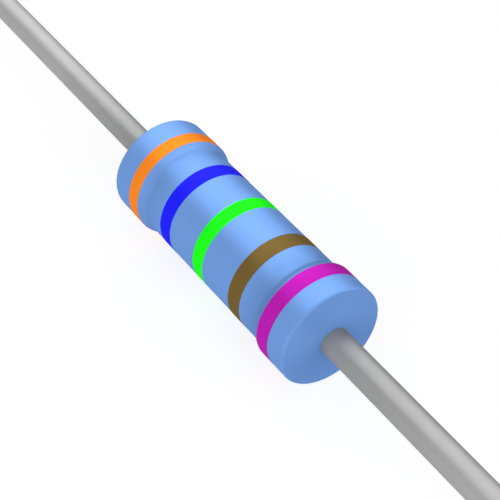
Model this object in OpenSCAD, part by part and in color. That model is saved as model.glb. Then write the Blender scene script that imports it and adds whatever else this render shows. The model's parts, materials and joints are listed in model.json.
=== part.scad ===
// Axial resistor, quarter watt metal film type, with two straight tinned wire leads.
// Millimetres. The axis of the part lies along X, +X points to the last band, +Z is up.
// The origin is on the axis, at the middle of the body.
// Every piece is turned about that axis. The two ends mirror each other, but for the bands and
// for the steps in the lacquer, which lie a little to the right.

/* [Body] */
// Length of the lacquered body, rim to rim
body_length = 6.06; // [5:0.01:8]
// Diameter of the body over the end caps
body_d = 2.25; // [1.8:0.01:3]
// Depth of the waist between the end caps, below the surface over the caps
waist_depth = 0.095; // [0.04:0.005:0.15]
// Length of the smooth step between waist and bulge
shoulder_length = 0.28; // [0.1:0.01:0.5]
// How far both steps lie to the right of the mouths of the caps
shoulder_shift = 0.03; // [-0.05:0.01:0.05]
// Radius of the rounded rim at each end of the body
rim_radius = 0.07; // [0.04:0.01:0.3]
// Height of each domed end of the body, from its rim to the top of the dome on the axis
end_crown = 0.08; // [0.03:0.01:0.2]
// Thickness of the lacquer round the end caps
cap_coat = 0.12; // [0.08:0.01:0.2]
// Thickness of the lacquer over the flat end of each cap, as far as the rim
end_coat = 0.12; // [0.08:0.01:0.2]

/* [End caps] */
// Wall thickness of the pressed end caps
cap_wall = 0.16; // [0.1:0.01:0.2]
// Length of each cap along the axis
cap_depth = 0.85; // [0.6:0.01:1.2]
// Outer corner radius of each cap
cap_radius = 0.1; // [0.04:0.01:0.15]

/* [Core and film] */
// Bevel on each end of the ceramic rod
core_bevel = 0.06; // [0.02:0.01:0.1]
// Thickness of the resistive film
film_thickness = 0.02; // [0.01:0.005:0.03]
// Turns of the helical cut that trims the film to its value
trim_turns = 5; // [2:1:7]
// Width of the trim cut, along the axis
trim_width = 0.12; // [0.06:0.01:0.2]
// Uncut film between the trim cut and each end cap
trim_margin = 0.45; // [0.2:0.05:0.8]

/* [Leads] */
// Diameter of the wire
lead_d = 0.6; // [0.4:0.01:0.8]
// Length of each lead beyond the rim of the body
lead_length = 10; // [4:0.5:38]
// Bevel on the cut end of each lead
lead_bevel = 0.05; // [0.01:0.01:0.1]
// Width of the weld upset around the foot of each lead
weld_flare = 0.1; // [0.05:0.01:0.2]
// Thickness of the weld upset
weld_thickness = 0.05; // [0.02:0.01:0.07]

/* [Colour bands] */
// Thickness of the ink above the lacquer
ink_thickness = 0.004; // [0.004:0.001:0.03]
// Middle of band 1, orange, from the left end of the body
band_1_inset = 0.73; // [0.5:0.005:0.9]
// Width of band 1
band_1_width = 0.325; // [0.2:0.005:0.4]
// Middle of band 2, blue, to the left of the middle of the body
band_2_offset = 1.205; // [0.8:0.005:1.3]
// Width of band 2
band_2_width = 0.365; // [0.2:0.005:0.4]
// Width of band 3, green, in the middle of the body
band_3_width = 0.34; // [0.2:0.005:0.4]
// Middle of band 4, brown, to the right of the middle of the body
band_4_offset = 1.275; // [0.8:0.005:1.3]
// Width of band 4
band_4_width = 0.385; // [0.2:0.005:0.4]
// Middle of band 5, violet, from the right end of the body
band_5_inset = 0.655; // [0.5:0.005:0.9]
// Width of band 5
band_5_width = 0.35; // [0.2:0.005:0.4]

/* [Hidden] */
$fn = 96;

left = -1;
right = 1;

// Straight steps in a rounded rim, in a dome, in a shoulder, in a turn of the trim cut and round
// its wedge
rim_steps = 8;
crown_steps = 6;
shoulder_steps = 12;
trim_steps = 24;
wedge_steps = 8;

// Places along the axis at the right-hand end
body_end = body_length / 2;
cap_end = body_end - end_coat;
cap_mouth = cap_end - cap_depth;
core_end = cap_end - cap_wall;
film_end = core_end - core_bevel;
lead_tip = body_end + lead_length;

// Middles of the bands: the first and the last keep to the ends, the others to the middle
band_1_at = band_1_inset - body_end;
band_2_at = -band_2_offset;
band_3_at = 0;
band_4_at = band_4_offset;
band_5_at = body_end - band_5_inset;

// Radii, from the outside in
bulge_r = body_d / 2;
waist_r = bulge_r - waist_depth;
cap_r = bulge_r - cap_coat;
film_r = cap_r - cap_wall;
core_r = film_r - film_thickness;
lead_r = lead_d / 2;
weld_r = lead_r + weld_flare;

// Each domed end is part of a sphere that runs into the rounded rim without a corner. Its radius,
// its middle, and the angles from the axis at which it leaves the rim and meets the lead
rim_r = bulge_r - rim_radius;
dome_r = (pow(rim_radius + end_crown, 2) + pow(rim_r, 2) - pow(rim_radius, 2)) / (2 * end_crown);
dome_middle = body_end + end_crown - dome_r;
dome_edge = asin(rim_r / (dome_r - rim_radius));
dome_foot = asin(lead_r / dome_r);

// Outlines are lists of [place along the axis, radius]
function reversed(points) = [for (i = [len(points) - 1 : -1 : 0]) points[i]];
function mirrored(points) = [for (p = reversed(points)) [-p[0], p[1]]];

// Rounded rim from a cylinder towards the end at x, a quarter round unless it turns through less
function rounded_rim(x, r, rim, turn = 90) = [
    for (i = [0 : rim_steps])
        let (a = turn * i / rim_steps)
        [x - rim + rim * sin(a), r - rim + rim * cos(a)]
];

// Dome from the rim down to the lead, without its first point, which is the last of the rim
dome = [
    for (i = [1 : crown_steps])
        let (a = dome_edge + (dome_foot - dome_edge) * i / crown_steps)
        [dome_middle + dome_r * cos(a), dome_r * sin(a)]
];

// Step from waist to bulge about a middle near the mouth of the cap, half a cosine wave
function shoulder(middle) = [
    for (i = [0 : shoulder_steps])
        let (u = i / shoulder_steps)
        [middle + shoulder_length * (u - 1 / 2), bulge_r - waist_depth * (1 + cos(180 * u)) / 2]
];

// Outside of the lacquer from lead to lead, and its radius at any place between
coat_end = concat(rounded_rim(body_end, bulge_r, rim_radius, 90 - dome_edge), dome);
coat_outline = concat(
    mirrored(concat(shoulder(cap_mouth - shoulder_shift), coat_end)),
    concat(shoulder(cap_mouth + shoulder_shift), coat_end)
);
function coat_r(x) = lookup(x, coat_outline);

// Inside of its right-hand end, from the weld round the cap to the film
coat_inside = concat(
    [[cap_end + weld_thickness, lead_r], [cap_end, weld_r]],
    reversed(rounded_rim(cap_end, cap_r, cap_radius)),
    [[cap_mouth, cap_r], [cap_mouth, film_r]]
);

// Turns a closed outline about the X axis
module turned(outline) {
    rotate([0, 90, 0])
        rotate_extrude()
            polygon([for (p = outline) [p[1], p[0]]]);
}

// Draws a right-hand piece as it is, or its mirror image at the left-hand end
module at_end(side) {
    if (side == left)
        mirror([1, 0, 0])
            children();
    else
        children();
}

// Alumina rod with bevelled ends
module ceramic_core() {
    half = [[film_end, core_r], [core_end, core_r - core_bevel], [core_end, 0]];
    color("ivory")
        turned(concat(mirrored(half), half));
}

// Wedge swept along the axis while it turns, so that its two flanks are helicoids
module helical_cutter() {
    trim_length = 2 * (cap_mouth - trim_margin) - trim_width;
    half_angle = 180 * trim_turns * trim_width / trim_length;
    inner = core_r / 2;
    outer = 2 * film_r;
    corners = [[inner, -half_angle], [outer, -half_angle], [outer, half_angle], [inner, half_angle]];
    slices = trim_turns * trim_steps;
    rotate([0, 90, 0])
        translate([0, 0, -trim_length / 2])
            linear_extrude(trim_length, twist = 360 * trim_turns, slices = slices, $fn = wedge_steps)
                polygon([for (c = corners) c[0] * [cos(c[1]), sin(c[1])]]);
}

// Nickel-chromium film on the rod, cut into a helical ribbon between the caps
module resistive_film() {
    color("dimgray")
        difference() {
            turned([[-film_end, core_r], [-film_end, film_r], [film_end, film_r], [film_end, core_r]]);
            helical_cutter();
        }
}

// Drawn steel cup pressed over the end of the filmed rod
module end_cap(side) {
    color("silver")
        at_end(side)
            turned(concat(
                [[core_end, 0], [core_end, film_r], [cap_mouth, film_r], [cap_mouth, cap_r]],
                rounded_rim(cap_end, cap_r, cap_radius),
                [[cap_end, 0]]
            ));
}

// Straight tinned copper wire, upset at its foot where it is butt welded to the cap
module lead(side) {
    color("gainsboro")
        at_end(side)
            turned([
                [cap_end, 0],
                [cap_end, weld_r],
                [cap_end + weld_thickness, lead_r],
                [lead_tip - lead_bevel, lead_r],
                [lead_tip, lead_r - lead_bevel],
                [lead_tip, 0]
            ]);
}

// Epoxy lacquer in one skin over the film, the caps and the welds
module lacquer_coat() {
    color("cornflowerblue")
        turned(concat(coat_outline, coat_inside, mirrored(coat_inside)));
}

// Ring of ink that follows the lacquer
module colour_band(middle, width, ink) {
    low = middle - width / 2;
    high = middle + width / 2;
    xs = concat([low], [for (p = coat_outline) if (p[0] > low && p[0] < high) p[0]], [high]);
    inside = [for (x = xs) [x, coat_r(x)]];
    outside = [for (x = xs) [x, coat_r(x) + ink_thickness]];
    color(ink)
        turned(concat(inside, reversed(outside)));
}

ceramic_core();
resistive_film();
end_cap(left);  // end_cap_left
end_cap(right);  // end_cap_right
lead(left);  // lead_left
lead(right);  // lead_right
lacquer_coat();
colour_band(band_1_at, band_1_width, "darkorange");  // band_1_orange
colour_band(band_2_at, band_2_width, "blue");  // band_2_blue
colour_band(band_3_at, band_3_width, "lime");  // band_3_green
colour_band(band_4_at, band_4_width, "saddlebrown");  // band_4_brown
colour_band(band_5_at, band_5_width, "mediumvioletred");  // band_5_violet
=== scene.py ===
import json
import math

import bpy
from mathutils import Matrix, Vector


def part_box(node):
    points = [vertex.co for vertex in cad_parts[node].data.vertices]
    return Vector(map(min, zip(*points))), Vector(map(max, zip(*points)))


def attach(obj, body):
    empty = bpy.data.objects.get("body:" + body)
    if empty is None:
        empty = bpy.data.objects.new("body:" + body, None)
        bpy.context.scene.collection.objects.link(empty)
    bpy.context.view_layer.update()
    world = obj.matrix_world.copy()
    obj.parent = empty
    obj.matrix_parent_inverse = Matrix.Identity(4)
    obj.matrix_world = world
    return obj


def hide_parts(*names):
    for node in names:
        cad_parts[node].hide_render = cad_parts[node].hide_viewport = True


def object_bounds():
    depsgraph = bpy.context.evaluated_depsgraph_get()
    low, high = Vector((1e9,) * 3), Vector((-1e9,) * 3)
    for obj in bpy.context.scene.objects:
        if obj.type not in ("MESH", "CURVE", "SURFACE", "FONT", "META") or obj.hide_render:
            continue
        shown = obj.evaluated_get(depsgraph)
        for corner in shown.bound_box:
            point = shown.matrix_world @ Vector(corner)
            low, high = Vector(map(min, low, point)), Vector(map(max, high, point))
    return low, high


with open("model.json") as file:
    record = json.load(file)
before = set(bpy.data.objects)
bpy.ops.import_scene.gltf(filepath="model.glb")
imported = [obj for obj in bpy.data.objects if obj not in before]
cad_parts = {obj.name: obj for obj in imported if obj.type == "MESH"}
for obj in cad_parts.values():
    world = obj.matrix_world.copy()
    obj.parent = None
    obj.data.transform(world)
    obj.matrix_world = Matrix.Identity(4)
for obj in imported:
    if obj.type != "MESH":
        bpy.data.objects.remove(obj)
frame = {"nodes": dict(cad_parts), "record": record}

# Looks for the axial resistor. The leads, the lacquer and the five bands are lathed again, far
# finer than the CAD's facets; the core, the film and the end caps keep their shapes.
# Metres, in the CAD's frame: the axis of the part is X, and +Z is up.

MM = 0.001
LEFT, RIGHT = -1, 1

cad_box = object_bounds()

# ---- Driving dimensions --------------------------------------------------------------------

# Fineness of the lathed pieces
FACETS = 192              # round the axis
RIM_STEPS = 20            # in a rounded rim
CROWN_STEPS = 12          # in a domed end
SHOULDER_STEPS = 40       # in a shoulder
INK_STEPS = 5             # in the rounded edge of a band
SHARP_ANGLE = 30          # degrees between two faces from which their edge is sharp

# Small shapes that no box of a CAD node states
SHOULDER = 0.28 * MM        # length of the step from waist to bulge
SHOULDER_SHIFT = 0.03 * MM  # how far both steps lie to the right of a mirrored pair
RIM = 0.07 * MM             # radius of the rim at each end of the body
CROWN = 0.08 * MM           # height of the domed end above its rim
END_COAT = 0.12 * MM        # lacquer over the flat end of a cap, as far as the rim
CAP_RADIUS = 0.1 * MM       # outer corner of a cap
WELD = 0.05 * MM            # thickness of the weld upset at the foot of a lead
TIP_BEVEL = 0.05 * MM       # bevel on the cut end of a lead

# Places and radii, from the boxes of the CAD nodes and the record
cap_lo, cap_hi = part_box("end_cap_right")
lead_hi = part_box("lead_right")[1]
bulge_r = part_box("lacquer_coat")[1].z
cap_mouth, cap_end, cap_r = cap_lo.x, cap_hi.x, cap_hi.z
body_end = cap_end + END_COAT
weld_r, lead_tip = lead_hi.z, lead_hi.x
film_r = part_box("resistive_film")[1].z
lead_r = next(m for m in frame["record"]["mounts"] if m["name"] == "lead_right")["dims"]["r_mm"] * MM
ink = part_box("band_5_violet")[1].z - bulge_r
waist_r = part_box("band_3_green")[1].z - ink
shoulder_foot, shoulder_top = cap_mouth - SHOULDER / 2, cap_mouth + SHOULDER / 2


# ---- Lathed pieces -------------------------------------------------------------------------

def mirrored(points):
    """The outline's mirror image at the left-hand end."""
    return [(-x, r) for x, r in reversed(points)]


def rounded_rim(x, r, rim, turn=math.pi / 2):
    """A round of radius rim, from a cylinder of radius r towards the end at x, through turn."""
    turns = [turn * i / RIM_STEPS for i in range(RIM_STEPS + 1)]
    return [(x - rim + rim * math.sin(a), r - rim + rim * math.cos(a)) for a in turns]


def domed_end():
    """Rim and domed end face of the lacquer, in one smooth curve down to the wire."""
    rim_r = bulge_r - RIM
    dome_r = ((RIM + CROWN) ** 2 + rim_r ** 2 - RIM ** 2) / (2 * CROWN)
    slope = math.asin(rim_r / (dome_r - RIM))
    foot = math.asin(lead_r / dome_r)
    turns = [slope + (foot - slope) * i / CROWN_STEPS for i in range(1, CROWN_STEPS + 1)]
    middle = body_end + CROWN - dome_r
    dome = [(middle + dome_r * math.cos(a), dome_r * math.sin(a)) for a in turns]
    return rounded_rim(body_end, bulge_r, RIM, math.pi / 2 - slope) + dome


def shoulder(middle):
    """Half a cosine wave from the waist to the bulge."""
    steps = [i / SHOULDER_STEPS for i in range(SHOULDER_STEPS + 1)]
    drop = bulge_r - waist_r
    return [
        (middle + SHOULDER * (u - 0.5), bulge_r - drop * (1 + math.cos(math.pi * u)) / 2)
        for u in steps
    ]


left_end = mirrored(shoulder(cap_mouth - SHOULDER_SHIFT) + domed_end())
coat_outline = left_end + shoulder(cap_mouth + SHOULDER_SHIFT) + domed_end()
coat_inside = (
    [(cap_end + WELD, lead_r), (cap_end, weld_r)]
    + rounded_rim(cap_end, cap_r, CAP_RADIUS)[::-1]
    + [(cap_mouth, cap_r), (cap_mouth, film_r)]
)


def coat_r(x):
    """Radius of the lacquer at x."""
    for (x0, r0), (x1, r1) in zip(coat_outline, coat_outline[1:]):
        if x0 <= x <= x1 and x1 > x0:
            return r0 + (r1 - r0) * (x - x0) / (x1 - x0)
    raise ValueError(f"no lacquer at {x}")


def band_outline(node):
    """A ring of ink that follows the lacquer, its outer edges rounded."""
    lo, hi = (corner.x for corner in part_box(node))
    along = [lo] + [x for x, r in coat_outline if lo + ink < x < hi - ink] + [hi]
    under = [(x, coat_r(x)) for x in along]
    turns = [math.pi / 2 * i / INK_STEPS for i in range(INK_STEPS + 1)]
    rounds = [(ink * (1 - math.cos(a)), ink * math.sin(a)) for a in turns]
    left = [(lo + dx, coat_r(lo + dx) + dr) for dx, dr in rounds]
    right = [(hi - dx, coat_r(hi - dx) + dr) for dx, dr in reversed(rounds)]
    top = left + [(x, coat_r(x) + ink) for x in along[1:-1]] + right
    return under[::-1] + top[1:-1]


def lead_outline(side):
    """Half section of a lead, from the weld to its cut tip, closed by the axis."""
    points = [
        (cap_end, 0.0),
        (cap_end, weld_r),
        (cap_end + WELD, lead_r),
        (lead_tip - TIP_BEVEL, lead_r),
        (lead_tip, lead_r - TIP_BEVEL),
        (lead_tip, 0.0),
    ]
    return points if side == RIGHT else mirrored(points)


def lathe(name, outline, material):
    """A closed outline of (x, radius) turned about the X axis. A radius of 0 is one point."""
    verts, rings, faces = [], [], []
    for x, r in outline:
        if r > 0:
            rings.append(range(len(verts), len(verts) + FACETS))
            for i in range(FACETS):
                a = 2 * math.pi * i / FACETS
                verts.append((x, -r * math.sin(a), r * math.cos(a)))
        else:
            rings.append([len(verts)] * FACETS)
            verts.append((x, 0.0, 0.0))
    for k, ring in enumerate(rings):
        other = rings[(k + 1) % len(rings)]
        for i in range(FACETS):
            j = (i + 1) % FACETS
            corners = [ring[i], ring[j], other[j], other[i]]
            corners = [c for n, c in enumerate(corners) if c not in corners[:n]]
            if len(corners) > 2:
                faces.append(corners)
    mesh = bpy.data.meshes.new(name)
    mesh.from_pydata(verts, [], faces)
    mesh.validate()
    mesh.materials.append(material)
    mesh.shade_smooth()
    mesh.set_sharp_from_angle(angle=math.radians(SHARP_ANGLE))
    piece = bpy.data.objects.new(name, mesh)
    bpy.context.scene.collection.objects.link(piece)
    return piece


# ---- Materials -----------------------------------------------------------------------------

PAINTED_SHADE_LEFT = 0.90         # brightness of the painted shade on the lacquer in the hollow at the left shoulder
PAINTED_SHADE_RIGHT = 0.77        # and at the right one
WIRE_FOOT_SHADE = 0.76         # brightness of the painted shade on the wire's tin where it leaves the body
BRIGHT_FROM = 7.2 * MM   # where the painted shade on the wires has faded out, from the middle of the part
EDGE_TINT = 0.7          # brightness of the sheen at a shallow angle
NOISE_MIDDLE = (0.3, 0.7)    # the values between which a noise texture mostly lies


def srgb(red, green, blue):
    """Linear colour of 8-bit sRGB values."""
    def linear(v):
        v /= 255
        return v / 12.92 if v <= 0.04045 else ((v + 0.055) / 1.055) ** 2.4
    return (linear(red), linear(green), linear(blue), 1.0)


class Nodes:
    """A material's nodes. What is the same all over is set on the shader's own sockets."""

    def __init__(self, name, color, metallic, specular=0.0, edge=EDGE_TINT):
        self.material = bpy.data.materials.new(name)
        self.material.use_nodes = True
        self.tree = self.material.node_tree
        self.shader = self.tree.nodes["Principled BSDF"]
        self.color = color
        self.shader.inputs["Metallic"].default_value = metallic
        self.shader.inputs["Specular IOR Level"].default_value = specular
        self.shader.inputs["Specular Tint"].default_value = (edge, edge, edge, 1.0)
        self.place = self.tree.nodes.new("ShaderNodeTexCoord").outputs["Object"]
        self.along = self.node("ShaderNodeSeparateXYZ", {"Vector": self.place}).outputs["X"]

    def put(self, socket, value):
        if isinstance(value, bpy.types.NodeSocket):
            self.tree.links.new(value, socket)
        else:
            socket.default_value = value

    def node(self, kind, inputs, **settings):
        made = self.tree.nodes.new(kind)
        for key, value in settings.items():
            setattr(made, key, value)
        for key, value in inputs.items():
            self.put(made.inputs[key], value)
        return made

    def noise(self, per_mm, detail=2.0, stretch=(1, 1, 1)):
        """Noise with per_mm features to a millimetre, times stretch along each axis."""
        scale = [s / MM for s in stretch]
        place = self.node("ShaderNodeMapping", {"Vector": self.place, "Scale": scale})
        made = self.node("ShaderNodeTexNoise", {
            "Vector": place.outputs["Vector"], "Scale": per_mm, "Detail": detail, "Roughness": 0.55,
        })
        return made.outputs["Fac"]

    def ramp(self, value, start, end, low, high):
        """From low to high as value goes from start to end."""
        return self.node("ShaderNodeMapRange", {
            "Value": value, "From Min": start, "From Max": end, "To Min": low, "To Max": high,
        }).outputs["Result"]

    def dip(self, start, foot, end, low):
        """1 as far as start and from end on, and low at foot between them, along or against X."""
        falling = self.ramp(self.along, start, foot, 1.0, low)
        rising = self.ramp(self.along, foot, end, low, 1.0)
        return self.calculate("MAXIMUM", falling, rising)

    def spread(self, noise, low, high):
        """Noise spread so that it mostly lies from low to high."""
        return self.ramp(noise, *NOISE_MIDDLE, low, high)

    def calculate(self, operation, a, b=0.0):
        return self.node("ShaderNodeMath", {0: a, 1: b}, operation=operation).outputs["Value"]

    def tint(self, brightness):
        """The material's own colour, times brightness."""
        inputs = {0: self.color[:3], "Scale": brightness}
        made = self.node("ShaderNodeVectorMath", inputs, operation="SCALE")
        self.put(self.shader.inputs["Base Color"], made.outputs["Vector"])

    def roughness(self, noise, low, high):
        self.put(self.shader.inputs["Roughness"], self.spread(noise, low, high))

    def bump(self, *layers):
        """Each layer is (noise, its height in mm)."""
        normal = None
        for noise, height in layers:
            inputs = {"Height": noise, "Distance": height * MM, "Strength": 1.0}
            if normal is not None:
                inputs["Normal"] = normal
            normal = self.node("ShaderNodeBump", inputs).outputs["Normal"]
        self.put(self.shader.inputs["Normal"], normal)


def lacquer_material():
    """Dipped epoxy with a faint orange peel. Painted shade darkens it in the hollow before each
    shoulder: from band 2 towards the foot of the left shoulder, and from band 4 towards band 5 on the
    right one."""
    n = Nodes("lacquer", srgb(107, 148, 209), metallic=0.15)
    cloud, peel, grain = n.noise(1.1), n.noise(5.0), n.noise(30.0)
    left = n.dip(
        start=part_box("band_2_blue")[0].x, foot=SHOULDER_SHIFT - shoulder_foot,
        end=SHOULDER_SHIFT - shoulder_top, low=PAINTED_SHADE_LEFT,
    )
    right = n.dip(
        start=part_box("band_4_brown")[1].x, foot=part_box("band_5_violet")[0].x,
        end=SHOULDER_SHIFT + shoulder_top, low=PAINTED_SHADE_RIGHT,
    )
    # painted shade in the hollows before the shoulders, multiplied into the lacquer's colour
    painted_shade = n.calculate("MINIMUM", left, right)
    n.tint(n.calculate("MULTIPLY", n.spread(cloud, 0.975, 1.025), painted_shade))
    n.roughness(peel, 0.42, 0.48)
    n.bump((peel, 0.0006), (grain, 0.00015))
    return n.material


def ink_material(name, color):
    """Marking ink rolled on: fine lines round the body, and a grain."""
    n = Nodes(name, color, metallic=0.12)
    lines, grain = n.noise(1.0, stretch=(28, 3, 3)), n.noise(22.0)
    n.tint(n.spread(grain, 0.96, 1.04))
    n.roughness(lines, 0.38, 0.46)
    n.bump((lines, 0.0004), (grain, 0.0003))
    return n.material


def metal_material(name, color, metallic, rough, stretch, foot=1.0):
    """Plated metal with the fine lines of its drawing. foot is the brightness of the painted shade
    where it leaves the body; the shade fades out, and the metal has its own colour from BRIGHT_FROM
    outwards."""
    n = Nodes(name, color, metallic=metallic)
    lines, dull = n.noise(1.0, detail=3.0, stretch=stretch), n.noise(2.5)
    tone = n.calculate("MULTIPLY", n.spread(lines, 0.985, 1.015), n.spread(dull, 0.98, 1.02))
    from_middle = n.calculate("ABSOLUTE", n.along)
    # painted shade: the metal darkens from BRIGHT_FROM in towards the body, down to foot at the body's
    # end
    n.tint(n.calculate("MULTIPLY", tone, n.ramp(from_middle, body_end, BRIGHT_FROM, foot, 1.0)))
    n.roughness(lines, rough - 0.03, rough + 0.03)
    n.bump((lines, 0.0003))
    return n.material


def plain_material(name, color, rough, grain):
    """Matt ceramic or film, with a grain of so many features to a millimetre."""
    n = Nodes(name, color, metallic=0.0, specular=0.3, edge=1.0)
    fine = n.noise(grain)
    n.tint(n.spread(fine, 0.93, 1.05))
    n.roughness(fine, rough - 0.08, rough + 0.08)
    n.bump((fine, 0.002))
    return n.material


lacquer = lacquer_material()
wire = metal_material(
    "tinned_wire", srgb(162, 162, 162), metallic=0.15, rough=0.45, stretch=(1.2, 45, 45), foot=WIRE_FOOT_SHADE
)
cap_steel = metal_material(
    "cap_steel", srgb(200, 200, 198), metallic=1.0, rough=0.25, stretch=(1.5, 30, 30)
)
alumina = plain_material("alumina", srgb(236, 232, 220), rough=0.65, grain=16.0)
film = plain_material("film", srgb(104, 99, 94), rough=0.45, grain=40.0)
inks = {
    "band_1_orange": srgb(242, 133, 36),
    "band_2_blue": srgb(34, 34, 243),
    "band_3_green": srgb(33, 247, 30),
    "band_4_brown": srgb(112, 91, 47),
    "band_5_violet": srgb(178, 30, 169),
}

# ---- The part ------------------------------------------------------------------------------

coat = lathe("lacquer_body", coat_outline + coat_inside + mirrored(coat_inside), lacquer)
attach(coat, "root")
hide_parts("lacquer_coat")

for name, side in (("left", LEFT), ("right", RIGHT)):
    lead = lathe(f"wire_{name}", lead_outline(side), wire)
    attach(lead, "root")
    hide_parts(f"lead_{name}")

for node, color in inks.items():
    ink_name = "ink_" + node.split("_")[-1]
    ring = lathe(node.replace("band", "ring"), band_outline(node), ink_material(ink_name, color))
    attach(ring, "root")
    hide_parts(node)

inner_finishes = {
    "ceramic_core": alumina,
    "resistive_film": film,
    "end_cap_left": cap_steel,
    "end_cap_right": cap_steel,
}
for node, finish in inner_finishes.items():
    for slot in frame["nodes"][node].material_slots:
        slot.material = finish

# ---- Stage ---------------------------------------------------------------------------------

FLOOR_RADIUS = 1.0
FLOOR_SIDES = 64
FLOOR_ALBEDO = 0.96
FLOOR_LIGHT = 0.56       # light that reaches the open floor
SHADOW_SHARE = 0.2       # share of the floor's white that is lit colour, and so takes the shadow
AMBIENT = 0.49           # strength of the even light from all round
WHITE = (1.0, 1.0, 1.0, 1.0)

# Directions of the panels from the part: the back at 65 and at 59 degrees above the floor, the
# viewer's side and the right-hand end
HIGH_BACK = (0, 0.4226, 0.9063)
LOWER_BACK = (0, 0.5150, 0.8572)
FRONT = (0, -1, 0.1)
RIGHT_END = (1, 0, 0.22)

scene = bpy.context.scene


def seen_rays(nodes, links):
    """1 for camera, glossy and transmission rays."""
    path = nodes.new("ShaderNodeLightPath")
    total = path.outputs["Is Camera Ray"]
    for name in ("Is Glossy Ray", "Is Transmission Ray"):
        add = nodes.new("ShaderNodeMath")
        add.operation = "ADD"
        add.use_clamp = True
        links.new(total, add.inputs[0])
        links.new(path.outputs[name], add.inputs[1])
        total = add.outputs["Value"]
    return total


def floor_material():
    """White paper. Where it is seen it is plain white, with the part's own soft shadow."""
    made = bpy.data.materials.new("floor")
    made.use_nodes = True
    nodes, links = made.node_tree.nodes, made.node_tree.links
    nodes.clear()
    paper, seen_paper = nodes.new("ShaderNodeBsdfDiffuse"), nodes.new("ShaderNodeBsdfDiffuse")
    paper.inputs["Color"].default_value = (FLOOR_ALBEDO,) * 3 + (1.0,)
    seen_paper.inputs["Color"].default_value = (SHADOW_SHARE / FLOOR_LIGHT,) * 3 + (1.0,)
    white = nodes.new("ShaderNodeEmission")
    white.inputs["Strength"].default_value = 1 - SHADOW_SHARE
    seen = nodes.new("ShaderNodeAddShader")
    links.new(seen_paper.outputs["BSDF"], seen.inputs[0])
    links.new(white.outputs["Emission"], seen.inputs[1])
    mix = nodes.new("ShaderNodeMixShader")
    links.new(seen_rays(nodes, links), mix.inputs["Fac"])
    links.new(paper.outputs["BSDF"], mix.inputs[1])
    links.new(seen.outputs["Shader"], mix.inputs[2])
    out = nodes.new("ShaderNodeOutputMaterial")
    links.new(mix.outputs["Shader"], out.inputs["Surface"])
    return made


def make_floor(height):
    """A round sheet under the part."""
    turns = [2 * math.pi * i / FLOOR_SIDES for i in range(FLOOR_SIDES)]
    rim = [(FLOOR_RADIUS * math.cos(a), FLOOR_RADIUS * math.sin(a), height) for a in turns]
    mesh = bpy.data.meshes.new("floor")
    mesh.from_pydata(rim, [], [list(range(FLOOR_SIDES))])
    mesh.materials.append(floor_material())
    floor = bpy.data.objects.new("floor", mesh)
    scene.collection.objects.link(floor)


def make_world():
    """Even light from all round, and plain white where it is seen."""
    world = bpy.data.worlds.new("studio")
    scene.world = world
    world.use_nodes = True
    nodes, links = world.node_tree.nodes, world.node_tree.links
    nodes.clear()
    light, white = nodes.new("ShaderNodeBackground"), nodes.new("ShaderNodeBackground")
    light.inputs["Color"].default_value = white.inputs["Color"].default_value = WHITE
    light.inputs["Strength"].default_value = AMBIENT
    white.inputs["Strength"].default_value = 1.0
    mix = nodes.new("ShaderNodeMixShader")
    links.new(seen_rays(nodes, links), mix.inputs["Fac"])
    links.new(light.outputs["Background"], mix.inputs[1])
    links.new(white.outputs["Background"], mix.inputs[2])
    out = nodes.new("ShaderNodeOutputWorld")
    links.new(mix.outputs["Shader"], out.inputs["Surface"])


def panel(name, towards, distance, size, radiance, long_side=(1, 0, 0), shift=0.0, shine=False):
    """A rectangular lamp that faces the part from a direction. Its size is (along long_side, across
    it), it is moved along long_side by shift, and its radiance is relative to the floor's white. It
    gives either shine, in glossy reflections, or plain diffuse light."""
    lamp = bpy.data.lights.new(name, "AREA")
    lamp.shape = "RECTANGLE"
    lamp.size, lamp.size_y = size
    lamp.energy = radiance * math.pi * lamp.size * lamp.size_y
    holder = bpy.data.objects.new(name, lamp)
    out = Vector(towards).normalized()
    along = (Vector(long_side) - out * out.dot(Vector(long_side))).normalized()
    turned = Matrix((along, out.cross(along), out)).transposed().to_4x4()
    holder.matrix_world = Matrix.Translation(out * distance + along * shift) @ turned
    holder.visible_camera = False
    holder.visible_diffuse = not shine
    holder.visible_glossy = shine
    scene.collection.objects.link(holder)


make_floor(cad_box[0].z)
make_world()
panel("shine", HIGH_BACK, distance=0.25, size=(0.90, 0.688), radiance=5.45, shift=-0.55, shine=True)
panel("shine_edge", HIGH_BACK, distance=0.25, size=(0.08, 0.688), radiance=9.3, shift=0.08, shine=True)
panel(
    "shine_core", LOWER_BACK, distance=0.24, size=(0.65, 0.214), radiance=2.45, shift=-0.175, shine=True
)
panel("front_fill", FRONT, distance=0.40, size=(0.36, 0.07), radiance=10.5)
panel("end_fill", RIGHT_END, distance=0.40, size=(0.50, 0.15), radiance=3.55, long_side=(0, 1, 0))

# ---- Camera --------------------------------------------------------------------------------

FIELD_OF_VIEW = 20.0            # degrees
AZIMUTH = 55.936                # degrees, from -Y towards +X
ELEVATION = 43.308              # degrees above the horizon
DISTANCE = 28.238 * MM          # from the point that the camera looks at
AIM_RIGHT = 0.1814 * MM         # how far that point lies right of the origin in the picture
AIM_DOWN = 0.0825 * MM          # and how far below it
CLIP_NEAR, CLIP_FAR = DISTANCE / 50, 10.0

camera = bpy.data.objects.new("camera", bpy.data.cameras.new("camera"))
scene.collection.objects.link(camera)
scene.camera = camera
azimuth, elevation = math.radians(AZIMUTH), math.radians(ELEVATION)
right = Vector((math.cos(azimuth), math.sin(azimuth), 0))
level = Vector((math.sin(azimuth), -math.cos(azimuth), 0))
back = level * math.cos(elevation) + Vector((0, 0, math.sin(elevation)))
up = back.cross(right)
place = right * AIM_RIGHT - up * AIM_DOWN + back * DISTANCE
turned = Matrix((right, up, back)).transposed().to_4x4()
camera.matrix_world = Matrix.Translation(place) @ turned
camera.data.angle = math.radians(FIELD_OF_VIEW)
camera.data.clip_start, camera.data.clip_end = CLIP_NEAR, CLIP_FAR

scene.view_settings.view_transform = "Standard"
